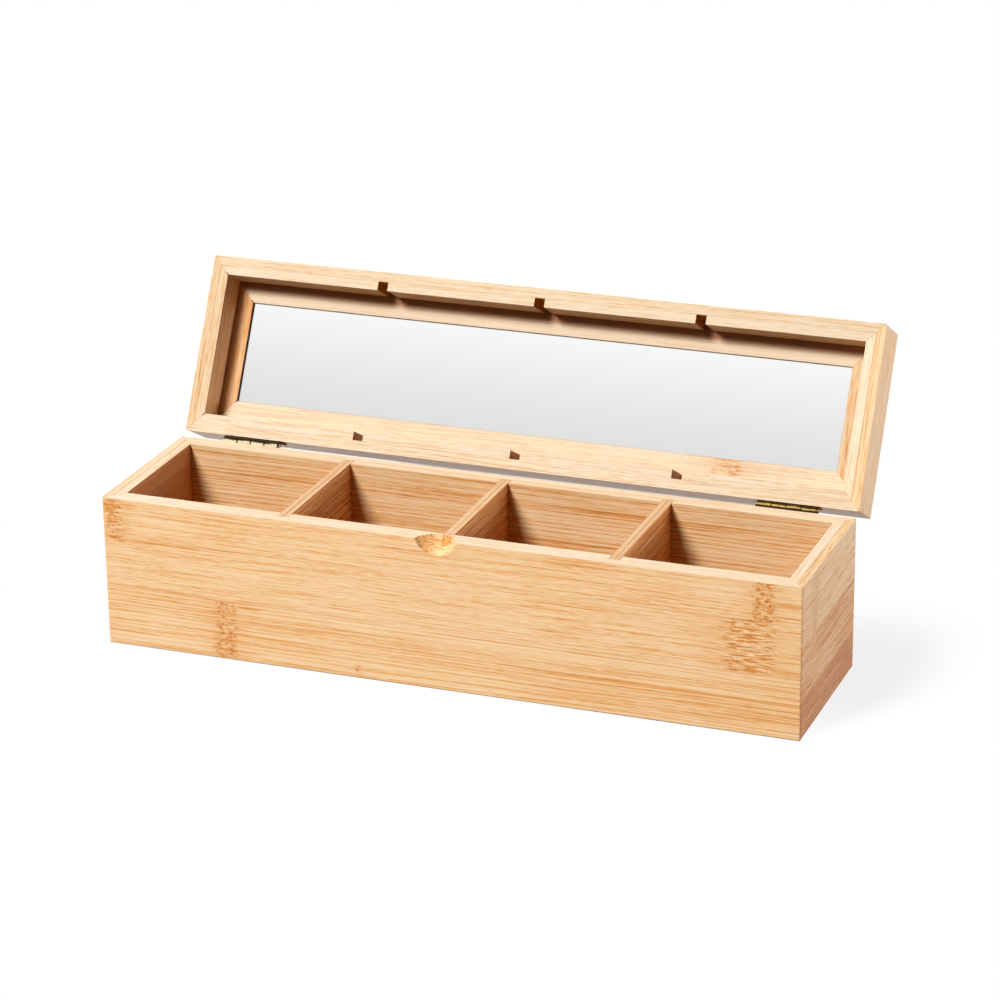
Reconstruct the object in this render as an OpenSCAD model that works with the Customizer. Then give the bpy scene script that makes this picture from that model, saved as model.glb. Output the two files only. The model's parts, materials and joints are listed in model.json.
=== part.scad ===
// Long bamboo organizer box with four compartments in a row and a hinged window lid.
// Origin: centre of the underside. X runs along the length, Y from front to back, Z up.
// The lid is drawn open, leaning back on the stops of its hinges.

/* [Box] */
// Overall length of the box
box_l = 350; // [260:1:450]
// Overall depth of the box, front to back
box_d = 90.5; // [75:0.5:140]
// Height of the body below the lid
body_h = 76; // [50:1:110]
// Height of the lid
lid_h = 26; // [22:1:40]
// Gap left between body and lid by the saw cut when the lid is shut
seam_gap = 0.2; // [0.1:0.1:1]
// Angle that the lid swings open to
open_angle = 118.6; // [95:0.1:125]

/* [Boards] */
// Thickness of the front and back boards
long_t = 9.4; // [8.5:0.1:12]
// Thickness of the two end boards
end_t = 8.8; // [8:0.1:12]
// Thickness of the inner ply, which grooves and rabbets are cut through
ply_t = 4.4; // [3.5:0.1:5]
// Radius of the eased outer edges and corners
edge_r = 1; // [0.4:0.1:2]
// Clearance of a part in its groove or rabbet
fit_gap = 0.1; // [0.05:0.05:0.3]
// Thickness of the bottom panel
bottom_t = 4; // [3:0.5:8]

/* [Dividers] */
// Thickness of each divider
divider_t = 5; // [3:0.5:8]
// Distance between the middles of neighbouring dividers
divider_pitch = 82.9; // [50:0.1:84]
// Sideways place of the middle divider from the middle of the box
divider_shift = 0.9; // [-5:0.1:5]

/* [Thumb scoop] */
// Radius of the ball cutter that cuts the scoop
scoop_r = 11.3; // [8:0.1:12]
// How far the cutter's middle stands out of the front face and above the rim
scoop_offset = 3; // [2:0.1:5]
// Sideways place of the scoop from the middle of the box
scoop_shift = -2.4; // [-20:0.1:20]

/* [Window] */
// Thickness of the window frame strips let into the top of the lid
frame_t = 9.4; // [7:0.1:12]
// How far the long frame strips stand in past the lid rails
frame_reach_long = 10.3; // [7:0.1:16]
// How far the end frame strips stand in past the lid rails
frame_reach_end = 8.9; // [7:0.1:16]
// Thickness of the window pane
pane_t = 2; // [1.5:0.1:2.5]
// Depth of the pane's groove into the frame strips
pane_groove = 4; // [2:0.5:6]
// Depth of the pane above the underside of the frame strips
pane_drop = 1.2; // [0.8:0.1:2]
// Thickness of the frame strips' outer lip where it meets the pane, below its bevel
lip_land = 0.3; // [0.2:0.1:1]
// How far the bevel of the outer lip slopes back from the window's edge
bevel_w = 3.6; // [2.5:0.1:5]

/* [Hinges] */
// Length of each hinge
hinge_l = 29.6; // [24:0.1:40]
// Distance from the left end of the box to the left hinge
hinge_inset_left = 22.4; // [15:0.1:60]
// Distance from the right end of the box to the right hinge
hinge_inset_right = 20; // [15:0.1:60]
// Width of each leaf from the pin's axis to its outer edge
leaf_w = 11; // [9:0.5:14]
// Thickness of the sheet that the leaves are rolled from
leaf_t = 0.85; // [0.6:0.05:1]
// Diameter of the hinge pin
pin_d = 2.4; // [1.8:0.1:3]
// Running clearance around the pin in the knuckles
pin_gap = 0.05; // [0.02:0.01:0.1]
// Gap between neighbouring knuckles
knuckle_gap = 0.25; // [0.1:0.05:0.5]
// Clearance between a turning knuckle and the wood or leaf beside it
turn_gap = 0.3; // [0.3:0.05:0.6]
// Height of the stop lips that stand out from the lid's knuckles
stop_lip = 1.2; // [0.9:0.1:2]

/* [Screws] */
// Diameter of the countersunk screw heads
head_d = 3.8; // [3:0.1:4.5]
// Diameter of the screw shanks
shank_d = 2; // [1.5:0.1:2.5]
// Length of each screw
screw_l = 7; // [5:0.5:8]
// Distance from the ends of a leaf to its screws
screw_inset = 5.5; // [4:0.1:8]

/* [Hidden] */
$fn = 48;
eps = 0.01;
knuckles = 4;
half_l = box_l / 2;
half_d = box_d / 2;
inner_half_d = half_d - long_t;
groove_w = divider_t + 2 * fit_gap;
lid_z = body_h + seam_gap;
frame_z = lid_z + lid_h - frame_t;
window_half_l = half_l - end_t - frame_reach_end;
window_half_d = inner_half_d - frame_reach_long;
pane_slot = pane_t + 2 * fit_gap;
pin_r = pin_d / 2;
bore_r = pin_r + pin_gap;
knuckle_r = bore_r + leaf_t;
axis_out = knuckle_r + turn_gap;
axis_y = half_d + axis_out;
axis_z = body_h + seam_gap / 2;
knuckle_pitch = hinge_l / knuckles;
knuckle_l = knuckle_pitch - knuckle_gap;
leaf_start = knuckle_r + turn_gap;
leaf_corner_r = 2;
curl_slit = 0.25;
pin_head_r = pin_r + leaf_t * 0.6;
pin_head_t = 0.5;
pin_head_gap = 0.1;
stop_gap = 0.1;
stop_t = leaf_t;
head_gap = 0.05;
tip_l = 1.4;
recess_w = 0.5;
recess_l = 2.2;
recess_t = 0.45;
screw_drop = (leaf_start + leaf_w) / 2;
hinge_left_x = -half_l + hinge_inset_left + hinge_l / 2;
hinge_right_x = half_l - hinge_inset_right - hinge_l / 2;
hinge_xs = [hinge_left_x, hinge_right_x];
divider_xs = [for (i = [-1 : 1]) divider_shift + i * divider_pitch];
wood = "#e6bd83";
wood_dark = "#dbab6c";
brass = "#c9a552";

// ---- Placing ----

// Swings whatever is drawn on the shut lid back to the open lid.
module on_lid() {
    translate([0, axis_y, axis_z])
        rotate([-open_angle, 0, 0])
            translate([0, -axis_y, -axis_z])
                children();
}

// Puts a board drawn with its outer face on Y = 0 at the front or the back.
module at_long_side(back) {
    mirror([0, back ? 1 : 0, 0])
        translate([0, -half_d, 0])
            children();
}

// Puts a board drawn with its outer face on Y = 0 at the left or the right end.
module at_end(right) {
    mirror([right ? 1 : 0, 0, 0])
        translate([-half_l, 0, 0])
            rotate([0, 0, -90])
                children();
}

// ---- Boards ----

// A board with mitred ends: outer face on Y = 0, standing on Z = 0.
// side_t is the thickness of the boards that it meets at its ends.
module mitred_board(length, thickness, height, side_t) {
    half = length / 2;
    linear_extrude(height)
        polygon([[-half, 0], [half, 0], [half - side_t, thickness], [side_t - half, thickness]]);
}

// The waste outside a quarter round of radius edge_r, centred on X, with its edge at Y = Z = 0.
module eased_waste(length) {
    difference() {
        translate([-length / 2, -eps, -eps])
            cube([length, edge_r + eps, edge_r + eps]);
        translate([-length, edge_r, edge_r])
            rotate([0, 90, 0])
                cylinder(h = 2 * length, r = edge_r);
    }
}

// The waste of the long outer edge and of both upright corners of a board.
// The long edge is eased at the bottom, or at the top where high is true.
module board_waste(length, height, high) {
    long_cut = length + 2;
    tall_cut = height + 2;
    translate([0, 0, high ? height : 0])
        mirror([0, 0, high ? 1 : 0])
            eased_waste(long_cut);
    for (side = [0, 1])
        mirror([side, 0, 0])
            translate([-length / 2, 0, height / 2])
                rotate([0, 90, 0])
                    eased_waste(tall_cut);
}

// The rabbet that takes a panel, cut through the inner ply from Z = 0 up.
module rabbet(length, thickness, depth) {
    translate([-length / 2, thickness - ply_t, -eps])
        cube([length, ply_t + eps, depth + eps]);
}

// The grooves for the dividers, cut through the inner ply of a long board.
module divider_grooves(height) {
    for (x = divider_xs)
        translate([x - groove_w / 2, long_t - ply_t, -eps])
            cube([groove_w, ply_t + eps, height + 2 * eps]);
}

// The ball that cuts the thumb scoop, in place on the box.
module scoop_ball() {
    translate([scoop_shift, -half_d - scoop_offset, body_h + scoop_offset])
        sphere(r = scoop_r, $fn = 96);
}

// ---- Body ----

module long_wall() {
    difference() {
        mitred_board(box_l, long_t, body_h, end_t);
        board_waste(box_l, body_h, false);
        rabbet(box_l, long_t, bottom_t + fit_gap);
        divider_grooves(body_h);
    }
}

module end_wall() {
    difference() {
        mitred_board(box_d, end_t, body_h, long_t);
        board_waste(box_d, body_h, false);
        rabbet(box_d, end_t, bottom_t + fit_gap);
    }
}

module front_wall() {
    color(wood)
        difference() {
            at_long_side(false) long_wall();
            scoop_ball();
        }
}

module back_wall() {
    color(wood)
        difference() {
            at_long_side(true) long_wall();
            screws_at_hinges(true) screw_hole();
        }
}

module left_wall() {
    color(wood_dark) at_end(false) end_wall();
}

module right_wall() {
    color(wood_dark) at_end(true) end_wall();
}

module bottom_panel() {
    panel_l = box_l - 2 * (end_t - ply_t + fit_gap);
    panel_d = box_d - 2 * (long_t - ply_t + fit_gap);
    color(wood)
        translate([-panel_l / 2, -panel_d / 2, 0])
            cube([panel_l, panel_d, bottom_t]);
}

module divider(index) {
    length = box_d - 2 * (long_t - ply_t + fit_gap);
    color(wood_dark)
        difference() {
            translate([divider_xs[index] - divider_t / 2, -length / 2, bottom_t])
                cube([divider_t, length, body_h - bottom_t]);
            scoop_ball();
        }
}

// ---- Lid ----

module long_rail() {
    difference() {
        mitred_board(box_l, long_t, lid_h, end_t);
        board_waste(box_l, lid_h, true);
        divider_grooves(lid_h);
        translate([0, 0, lid_h])
            mirror([0, 0, 1])
                rabbet(box_l, long_t, frame_t + fit_gap);
    }
}

module end_rail() {
    difference() {
        mitred_board(box_d, end_t, lid_h, long_t);
        board_waste(box_d, lid_h, true);
        translate([0, 0, lid_h])
            mirror([0, 0, 1])
                rabbet(box_d, end_t, frame_t + fit_gap);
    }
}

module lid_long_rail(back) {
    color(wood)
        on_lid()
            difference() {
                translate([0, 0, lid_z]) at_long_side(back) long_rail();
                if (back)
                    screws_at_hinges(false) screw_hole();
            }
}

module lid_end_rail(right) {
    color(wood_dark)
        on_lid()
            translate([0, 0, lid_z]) at_end(right) end_rail();
}

// A mitred strip of the window frame: the pane's groove runs in its inner edge,
// and the outer lip is bevelled down to the pane.
module frame_strip(length, width, side_w) {
    bevel_h = frame_t - pane_drop - pane_t - fit_gap - lip_land;
    difference() {
        mitred_board(length, width, frame_t, side_w);
        translate([-length / 2, width - pane_groove, pane_drop - fit_gap])
            cube([length, pane_groove + eps, pane_slot]);
        translate([-length / 2, width, frame_t])
            rotate([90, 0, 90])
                linear_extrude(length)
                    polygon([[-bevel_w, 0], [0, -bevel_h], [bevel_w, -bevel_h], [bevel_w, bevel_h],
                        [-bevel_w, bevel_h]]);
    }
}

module window_frame_long(back) {
    inset = long_t - ply_t + fit_gap;
    side_inset = end_t - ply_t + fit_gap;
    color(wood)
        on_lid()
            translate([0, 0, frame_z])
                at_long_side(back)
                    translate([0, inset, 0])
                        frame_strip(box_l - 2 * side_inset, long_t + frame_reach_long - inset,
                            end_t + frame_reach_end - side_inset);
}

module window_frame_end(right) {
    inset = end_t - ply_t + fit_gap;
    side_inset = long_t - ply_t + fit_gap;
    color(wood_dark)
        on_lid()
            translate([0, 0, frame_z])
                at_end(right)
                    translate([0, inset, 0])
                        frame_strip(box_d - 2 * side_inset, end_t + frame_reach_end - inset,
                            long_t + frame_reach_long - side_inset);
}

module window_pane() {
    hold = pane_groove - fit_gap;
    pane_half_l = window_half_l + hold;
    pane_half_d = window_half_d + hold;
    color("#e8eef0", 0.35)
        on_lid()
            translate([-pane_half_l, -pane_half_d, frame_z + pane_drop])
                cube([2 * pane_half_l, 2 * pane_half_d, pane_t]);
}

// ---- Hinges: drawn about the pin's axis, with the wood face at Y = -axis_out ----

// Outline of a leaf in X and Z, with round outer corners.
module leaf_outline() {
    difference() {
        translate([-hinge_l / 2, leaf_start])
            square([hinge_l, leaf_w - leaf_start]);
        for (side = [-1, 1])
            translate([side * (hinge_l / 2 - leaf_corner_r), leaf_w - leaf_corner_r])
                difference() {
                    translate([side > 0 ? 0 : -leaf_corner_r - eps, 0])
                        square(leaf_corner_r + eps);
                    circle(leaf_corner_r);
                }
    }
}

// One rolled knuckle with its strap to the leaf, and the slit where the curl ends.
module knuckle(index) {
    start = -hinge_l / 2 + index * knuckle_pitch + knuckle_gap / 2;
    difference() {
        union() {
            translate([start, 0, 0])
                rotate([0, 90, 0])
                    cylinder(h = knuckle_l, r = knuckle_r);
            translate([start, -axis_out, 0])
                cube([knuckle_l, leaf_t, leaf_start + eps]);
        }
        translate([start - eps, 0, 0])
            rotate([0, 90, 0])
                cylinder(h = knuckle_l + 2 * eps, r = bore_r);
        translate([start - eps, leaf_t - axis_out, bore_r / 2])
            cube([knuckle_l + 2 * eps, curl_slit, knuckle_r]);
    }
}

// A leaf standing up from the pin's axis, with knuckles first, first + 2 and so on.
module leaf(first) {
    difference() {
        union() {
            translate([0, leaf_t - axis_out, 0])
                rotate([90, 0, 0])
                    linear_extrude(leaf_t)
                        leaf_outline();
            for (index = [first : 2 : knuckles - 1])
                knuckle(index);
        }
        for (side = [-1, 1])
            translate([side * (hinge_l / 2 - screw_inset), leaf_t - axis_out, screw_drop])
                screw_hole();
    }
}

module body_leaf(hinge_x) {
    color(brass)
        translate([hinge_x, axis_y, axis_z])
            mirror([0, 0, 1])
                leaf(0);
}

// The lid's leaf, with the lips that land on the body's leaf when the lid is fully open.
module lid_leaf(hinge_x) {
    lip_y = leaf_t - axis_out + stop_gap;
    lip_h = leaf_start + stop_lip - bore_r;
    color(brass) {
        translate([hinge_x, axis_y, axis_z]) {
            rotate([-open_angle, 0, 0])
                leaf(1);
            difference() {
                for (index = [1 : 2 : knuckles - 1])
                    translate([-hinge_l / 2 + index * knuckle_pitch + knuckle_gap / 2, lip_y,
                            -leaf_start - stop_lip])
                        cube([knuckle_l, stop_t, lip_h]);
                rotate([0, 90, 0])
                    cylinder(h = hinge_l + 2, r = bore_r, center = true);
            }
        }
    }
}

// The pin, with a peened head beyond each end of the barrel.
module hinge_pin(hinge_x) {
    head_x = hinge_l / 2 + pin_head_gap;
    color(brass)
        translate([hinge_x, axis_y, axis_z])
            rotate([0, 90, 0])
                rotate_extrude()
                    polygon([[0, -head_x - pin_head_t], [pin_r, -head_x - pin_head_t],
                        [pin_head_r, -head_x], [pin_r, -head_x],
                        [pin_r, head_x], [pin_head_r, head_x],
                        [pin_r, head_x + pin_head_t], [0, head_x + pin_head_t]]);
}

// ---- Screws: drawn with the head's face on Y = 0, pointing to -Y ----

// Profile of a countersunk screw, grown all round by gap.
module screw_profile(gap) {
    rotate([90, 0, 0])
        rotate_extrude()
            polygon([[0, -gap], [head_d / 2 + gap, -gap], [head_d / 2 + gap, 0],
                [shank_d / 2 + gap, leaf_t + gap], [shank_d / 2 + gap, screw_l - tip_l],
                [gap, screw_l + gap], [0, screw_l + gap]]);
}

module screw_hole() {
    screw_profile(head_gap);
}

module screw() {
    difference() {
        screw_profile(0);
        for (turn = [0, 90])
            rotate([0, turn, 0])
                translate([-recess_l / 2, -recess_t, -recess_w / 2])
                    cube([recess_l, recess_t + eps, recess_w]);
    }
}

// Places a screw in each hole of the body's leaves, or of the shut lid's leaves.
module screws_at_hinges(below) {
    for (hinge_x = hinge_xs)
        for (side = [-1, 1])
            translate([hinge_x + side * (hinge_l / 2 - screw_inset), half_d + leaf_t,
                    axis_z + (below ? -screw_drop : screw_drop)])
                children();
}

module body_hinge_screws() {
    color(brass) screws_at_hinges(true) screw();
}

module lid_hinge_screws() {
    color(brass) on_lid() screws_at_hinges(false) screw();
}

// ---- Nodes ----

front_wall();
back_wall();
left_wall();
right_wall();
bottom_panel();
divider(0);  // divider_left
divider(1);  // divider_centre
divider(2);  // divider_right
lid_long_rail(false);  // lid_front_rail
lid_long_rail(true);  // lid_back_rail
lid_end_rail(false);  // lid_left_rail
lid_end_rail(true);  // lid_right_rail
window_frame_long(false);  // window_frame_front
window_frame_long(true);  // window_frame_back
window_frame_end(false);  // window_frame_left
window_frame_end(true);  // window_frame_right
window_pane();
body_leaf(hinge_left_x);  // hinge_left_body_leaf
lid_leaf(hinge_left_x);  // hinge_left_lid_leaf
hinge_pin(hinge_left_x);  // hinge_left_pin
body_leaf(hinge_right_x);  // hinge_right_body_leaf
lid_leaf(hinge_right_x);  // hinge_right_lid_leaf
hinge_pin(hinge_right_x);  // hinge_right_pin
body_hinge_screws();
lid_hinge_screws();
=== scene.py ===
"""Finish and stage for the bamboo organizer box: wood, brass and pane materials around the CAD model.

Lengths are millimetres in the frame of the shut box, with X along it and Z up. Names that end in _M hold
metres in the frame of the CAD model, whose lid is open.
"""
import json
import math
from collections import namedtuple
from typing import NamedTuple

import bmesh
import bpy
from bpy.props import FloatProperty, FloatVectorProperty, PointerProperty
from mathutils import Matrix, Vector

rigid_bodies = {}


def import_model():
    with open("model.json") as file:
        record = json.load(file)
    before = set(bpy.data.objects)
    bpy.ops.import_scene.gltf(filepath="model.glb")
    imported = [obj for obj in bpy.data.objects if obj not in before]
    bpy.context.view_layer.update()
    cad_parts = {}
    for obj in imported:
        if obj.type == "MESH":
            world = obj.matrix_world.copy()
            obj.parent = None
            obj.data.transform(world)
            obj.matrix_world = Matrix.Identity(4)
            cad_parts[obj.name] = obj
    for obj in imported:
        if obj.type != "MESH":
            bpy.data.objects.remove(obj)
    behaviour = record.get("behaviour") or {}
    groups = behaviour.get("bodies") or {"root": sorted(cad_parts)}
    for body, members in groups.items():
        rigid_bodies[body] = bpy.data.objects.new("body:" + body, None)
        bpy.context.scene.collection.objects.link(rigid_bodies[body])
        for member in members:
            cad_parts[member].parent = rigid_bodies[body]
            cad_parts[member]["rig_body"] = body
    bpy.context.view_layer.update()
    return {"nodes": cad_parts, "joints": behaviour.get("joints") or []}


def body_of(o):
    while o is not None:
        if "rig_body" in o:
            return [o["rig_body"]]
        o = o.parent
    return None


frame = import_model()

bl_info = {
    "name": "Bamboo Organizer Box",
    "version": (1, 0, 0),
    "blender": (4, 5, 0),
    "location": "View3D > Sidebar > Bamboo Box",
    "description": "Finishes the bamboo boards, brass hinges and pane of an organizer box and stages it",
    "category": "Object",
}

MM = 0.001
X, Y, Z = range(3)

# ---- Sizes read from the CAD model ----

LID_HINGE = frame["joints"][0]
PIN_AXIS_M = tuple(LID_HINGE["pos_m"])
OPEN_ANGLE = LID_HINGE["range_deg"][1]


def on_lid(name):
    return body_of(frame["nodes"][name]) == ["lid"]


def shut_box(name):
    """Lowest and highest corner of a piece on the shut box, to the nearest micrometre."""
    pin = Vector(PIN_AXIS_M)
    turn = Matrix.Rotation(math.radians(OPEN_ANGLE if on_lid(name) else 0.0), 3, "X")
    corners = [turn @ (vertex.co - pin) + pin for vertex in frame["nodes"][name].data.vertices]
    return tuple(
        [round(pick(corner[axis] for corner in corners) / MM, 3) for axis in (X, Y, Z)] for pick in (min, max)
    )


def span(name, axis):
    low, high = shut_box(name)
    return round(high[axis] - low[axis], 3)


HALF_L = shut_box("right_wall")[1][X]
HALF_D, BODY_H = shut_box("back_wall")[1][Y:]
LONG_T = span("back_wall", Y)
END_T = span("right_wall", X)
DIVIDERS = ("divider_left", "divider_centre", "divider_right")
DIVIDER_X = tuple(round(sum(corner[X] for corner in shut_box(name)) / 2, 3) for name in DIVIDERS)
DIVIDER_T = span("divider_centre", X)
HOUSING = HALF_D - shut_box("divider_centre")[1][Y]
FRAME_WIDE_LONG = span("window_frame_front", Y)
FRAME_WIDE_END = span("window_frame_left", X)
HINGE_STARTS = tuple(shut_box(f"hinge_{side}_body_leaf")[0][X] for side in ("left", "right"))
HINGE_L = span("hinge_left_body_leaf", X)

# ---- Sizes that are inside the pieces ----

PLY_T = 4.4
DIVIDER_GLUE = 2.6
GROOVE_CLEARANCE = 0.1
GROOVE_HALF = DIVIDER_T / 2 + GROOVE_CLEARANCE
SCOOP_SHIFT = -2.4
SCOOP_OFFSET = 3.0
SCOOP_CENTRE = (SCOOP_SHIFT, -HALF_D - SCOOP_OFFSET, BODY_H + SCOOP_OFFSET)
SCOOP_R = 11.3
KNUCKLES = 4
BARREL_R = 2.1

# ---- Boards ----


class Board(NamedTuple):
    """One board: its place on the shut box, and how its bamboo looks.

    along, across and through give its own coordinates, each as (axis, sign, offset): along the grain from the
    middle, across the face from its lower or outer edge, and through from the outer face.
    """

    node: str
    along: tuple
    across: tuple
    through: tuple
    size: tuple  # length, width and thickness
    seed: int
    meets: float = None  # the mitre's slope, the neighbour's thickness over this board's; None if square
    mitre_on: str = None  # the coordinate that the mitre cuts across, "across" or "through"
    line: float = None  # depth of the glue line between two plies
    rims: tuple = (0.8, 0.8)  # how pale the sawn edge of the outer and of the inner ply is
    glue: float = 0.15  # how dark the glue line is
    contrast: float = 1.0  # how strongly the wood is streaked
    bleach: float = 0.0  # how pale the whole board is
    shade: float = 0.0  # how much painted shade darkens the wood behind its outer face
    warm: float = 0.0  # how much warm painted shade the inner face shows
    corner: float = 0.0  # how dark the rail's painted shadow is on a frame strip, where it meets the rail
    tones: tuple = (0.0,)  # the darkness of each strip that the board is glued up from
    ruled: tuple = (0.3, 0.3, 0.3)  # how much of each strip's grain is long even lines, not short fibres
    seams: tuple = ()  # the joints between the strips
    knots: tuple = ()  # knuckles: (along, low, high, half length, strength, share of dashes rather than dots)
    stains: tuple = ()  # lone dark streaks: (along, across, half length, half width, darkness)


def placed(node, along, across, through, seed, **look):
    """A board placed by its own box. across and through are each an axis and the sign of the way inwards."""
    low, high = shut_box(node)
    across, through = (
        (axis, sign, -low[axis] if sign > 0 else high[axis]) for axis, sign in (across, through)
    )
    size = tuple(span(node, axis) for axis in (along, across[0], through[0]))
    return Board(node, (along, 1, 0.0), across, through, size, seed, **look)


def wall(node, axis, sign, seed, **look):
    """A wall of the body or a rail of the lid: two plies, with mitres through its thickness.

    axis and sign give the way inwards from its outer face.
    """
    long = axis == Y
    thick, neighbour = (LONG_T, END_T) if long else (END_T, LONG_T)
    board = placed(node, X if long else Y, (Z, 1), (axis, sign), seed, meets=neighbour / thick,
                   mitre_on="through", line=thick - PLY_T, **look)
    return board._replace(size=(2 * (HALF_L if long else HALF_D), *board.size[1:]))


def strip(node, axis, sign, seed, **look):
    """A strip of the window frame, with mitres across its width. Its outer face is the lid's top."""
    long = axis == Y
    wide, neighbour = (FRAME_WIDE_LONG, FRAME_WIDE_END) if long else (FRAME_WIDE_END, FRAME_WIDE_LONG)
    return placed(node, X if long else Y, (axis, sign), (Z, -1), seed, meets=neighbour / wide,
                  mitre_on="across", rims=(0.3, 0.3), **look)


def divider(node, seed, **look):
    """A divider: two plies with square ends. Across counts from the table, as on the walls."""
    board = placed(node, Y, (Z, 1), (X, 1), seed, line=DIVIDER_GLUE, contrast=1.3, rims=(0.65, 0.65),
                   ruled=(0.8, 0.8, 0.8), **look)
    return board._replace(across=(Z, 1, 0.0), size=(board.size[0], BODY_H, board.size[2]))


BOARDS = {board.node: board for board in (
    wall("front_wall", Y, 1, 3, rims=(0.85, 0.85), glue=0.08, contrast=0.95, tones=(0.03, 0.0, 0.02),
         ruled=(1.0, 0.2, 0.4), seams=(30.5, 56.5),
         knots=((-168.5, 54.0, 76.0, 5.0, 1.0, 0.8), (-112.0, 1.0, 30.0, 7.0, 0.65, 0.2),
                (157.0, 57.0, 76.0, 6.0, 1.0, 0.3), (150.5, 31.0, 57.0, 14.0, 1.0, 1.0),
                (-43.0, 3.0, 8.0, 1.5, 0.6, 0.0)),
         stains=((-99.0, 28.4, 9.0, 1.3, 0.8), (-106.0, 4.5, 20.0, 2.0, 0.5), (-171.0, 72.0, 6.0, 3.0, 0.7),
                 (-140.0, 55.4, 60.0, 0.7, 0.5), (-135.0, 31.6, 70.0, 0.8, 0.5), (92.0, 72.2, 90.0, 0.8, 0.5),
                 (150.0, 33.0, 30.0, 1.2, 0.5), (168.0, 66.0, 9.0, 2.0, 0.4),
                 (130.0, 12.0, 130.0, 20.0, 0.3))),
    # Back wall: painted shade darkens its inner face.
    wall("back_wall", Y, -1, 11, contrast=1.1, shade=0.2, tones=(0.04, 0.06, 0.04), ruled=(1.0, 0.8, 1.0),
         seams=(22.0, 49.0),
         knots=((-120.0, 22.0, 49.0, 7.0, 0.8, 0.8), (64.0, 49.0, 76.0, 6.0, 0.5, 0.3),
                (118.0, 0.0, 22.0, 8.0, 0.9, 0.9))),
    # Left wall: its inner face takes warm painted shade.
    wall("left_wall", X, 1, 23, rims=(0.5, 0.75), contrast=1.3, warm=0.62, tones=(0.06, 0.1, 0.04),
         ruled=(0.8, 0.8, 0.8), seams=(26.0, 52.0), knots=((21.0, 26.0, 52.0, 5.0, 0.7, 0.5),)),
    # Right wall: darker towards the bottom, partly the strips' own tone and partly painted shade near the
    # floor.
    wall("right_wall", X, -1, 37, rims=(0.2, 0.95), glue=0.2, contrast=1.35, tones=(0.4, 0.2, 0.05),
         seams=(19.0, 46.0), knots=((-24.0, 46.0, 76.0, 5.0, 0.3, 0.4),)),
    placed("bottom_panel", X, (Y, 1), (Z, 1), 41, tones=(0.0, 0.05, 0.02), seams=(26.0, 53.0),
           knots=((-96.0, 26.0, 53.0, 8.0, 0.8, 1.0), (71.0, 0.0, 26.0, 6.0, 0.8, 0.5))),
    # Dividers: their dark strip tones are partly the wood's own colour and partly painted shade, as their
    # faces stand in the compartments.
    divider("divider_left", 53, glue=0.8, tones=(0.24, 0.22, 0.26), seams=(33.0, 60.0),
            knots=((14.0, 33.0, 60.0, 5.0, 0.6, 0.5),)),
    divider("divider_centre", 61, glue=0.6, tones=(0.3, 0.33, 0.29), seams=(28.0, 55.0)),
    divider("divider_right", 71, glue=0.5, tones=(0.27, 0.3, 0.28), seams=(24.0, 51.0),
            knots=((-8.0, 51.0, 76.0, 5.0, 0.6, 0.3),)),
    # Lid: painted shade darkens every face but the outer one, warm painted shade lies on some inner faces,
    # and the rails' painted shadow on two frame strips.
    wall("lid_front_rail", Y, 1, 83, rims=(0.65, 0.75), glue=0.1, contrast=1.2, shade=0.23,
         knots=((151.0, 0.0, 26.0, 8.0, 0.7, 0.8),)),
    wall("lid_back_rail", Y, -1, 97, rims=(0.5, 0.75), glue=0.1, contrast=2.3, bleach=0.42, shade=0.24,
         knots=((124.0, 0.0, 26.0, 8.0, 0.25, 0.8),)),
    wall("lid_left_rail", X, 1, 101, rims=(0.3, 0.4), glue=0.1, contrast=1.2, shade=0.24, warm=0.28,
         tones=(0.03,)),
    wall("lid_right_rail", X, -1, 113, rims=(0.1, 0.8), glue=0.5, shade=0.08),
    strip("window_frame_front", Y, 1, 127, contrast=1.1, bleach=0.6, shade=0.26, corner=0.75, tones=(0.04,)),
    strip("window_frame_back", Y, -1, 131, contrast=1.7, bleach=0.6, shade=0.2,
          knots=((104.0, 0.0, 16.0, 8.0, 0.8, 0.9),)),
    strip("window_frame_left", X, 1, 149, contrast=1.2, shade=0.5, warm=0.24, corner=0.25, tones=(0.06,)),
    strip("window_frame_right", X, -1, 157, contrast=1.6, bleach=0.15, shade=0.28),
)}

# ---- Settings ----


def linear(display):
    """Scene-linear colour of a display colour given in 0 to 255."""
    return tuple(
        level / 12.92 if level <= 0.04045 else ((level + 0.055) / 1.055) ** 2.4
        for level in (value / 255.0 for value in display)
    )


def colour(name, description, *display):
    return FloatVectorProperty(name=name, description=description, subtype="COLOR", size=3, min=0.0, max=1.0,
                               default=linear(display))


def share(name, description, default):
    return FloatProperty(name=name, description=description, subtype="FACTOR", min=0.0, max=1.0,
                         default=default)


def power(name, description, default):
    return FloatProperty(name=name, description=description, unit="POWER", min=0.0, default=default)


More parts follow.
